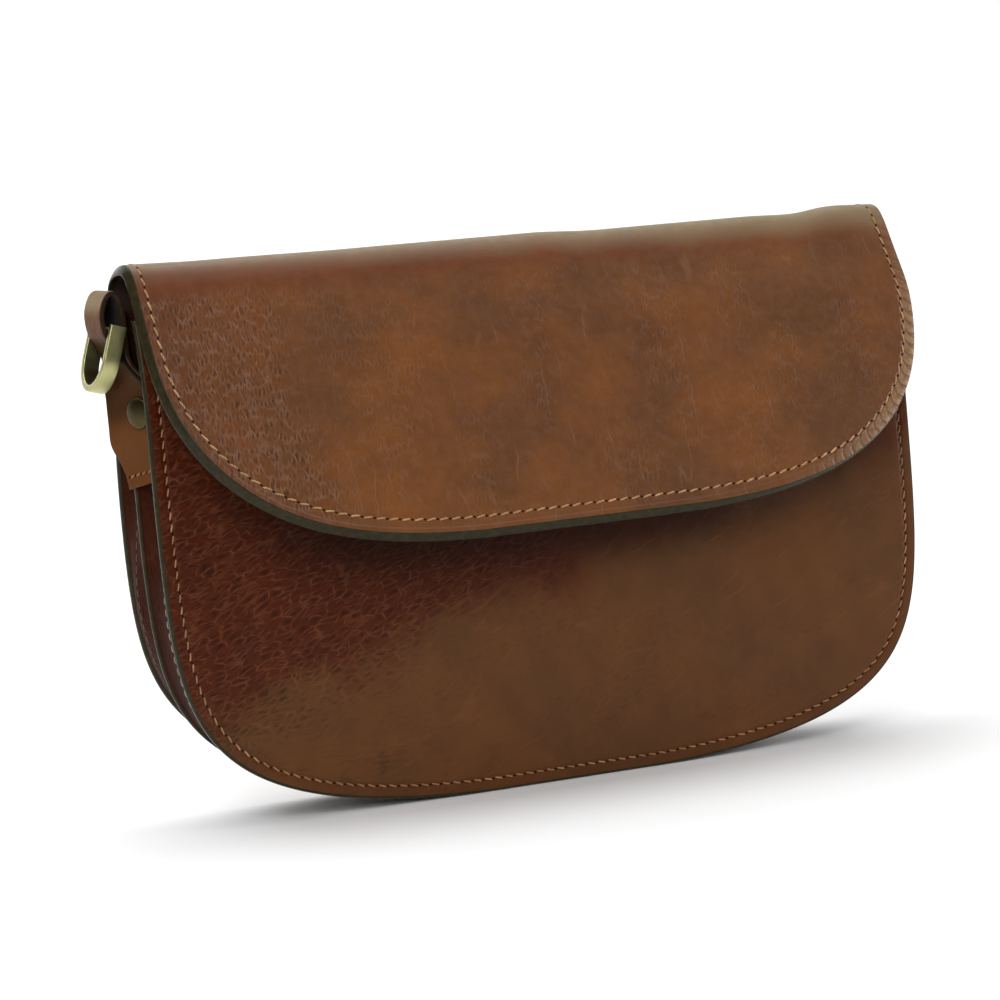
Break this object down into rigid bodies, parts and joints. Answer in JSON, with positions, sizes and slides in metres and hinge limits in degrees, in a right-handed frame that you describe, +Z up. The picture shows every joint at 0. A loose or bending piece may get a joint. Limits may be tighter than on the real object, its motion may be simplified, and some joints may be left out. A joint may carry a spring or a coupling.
{
  "type": "shoulder bag",
  "caption": "Small leather shoulder bag with front and rear compartments, a stiff sloping flap and a swinging brass strap ring on a riveted tab at each side.",
  "frame": {"origin": "bottom centre of the bounding box, on the surface the bag stands on", "axes": "+X to the bag's right seen from its front, +Y towards its back, +Z up"},
  "size_m": [0.2736, 0.0666, 0.1659],
  "materials": {
    "leather": "brown full-grain leather, semi-gloss, fine wrinkles, painted grey-olive edges",
    "side_leather": "dark red-brown leather, softly folded",
    "tab_leather": "tan-brown leather, satin",
    "brass": "pale antique brass, brushed"
  },
  "bodies": {
    "bag": {"front_panel": "leather", "divider_panel": "leather", "back_panel": "leather", "flap": "leather", "front_gusset": "side_leather", "rear_gusset": "side_leather", "left_ring_tab": "tab_leather", "right_ring_tab": "tab_leather", "left_rivet": "brass", "right_rivet": "brass"},
    "left_ring": {"left_ring": "brass"},
    "right_ring": {"right_ring": "brass"}
  },
  "joints": [
    {"name": "left_ring_swing", "type": "hinge", "parent": "bag", "child": "left_ring", "pos_m": [-0.1292, 0.016, 0.147], "axis": [0, 1, 0], "range_deg": [0, 140]},
    {"name": "right_ring_swing", "type": "hinge", "parent": "bag", "child": "right_ring", "pos_m": [0.1292, 0.019, 0.14], "axis": [0, -1, 0], "range_deg": [0, 140]}
  ]
}
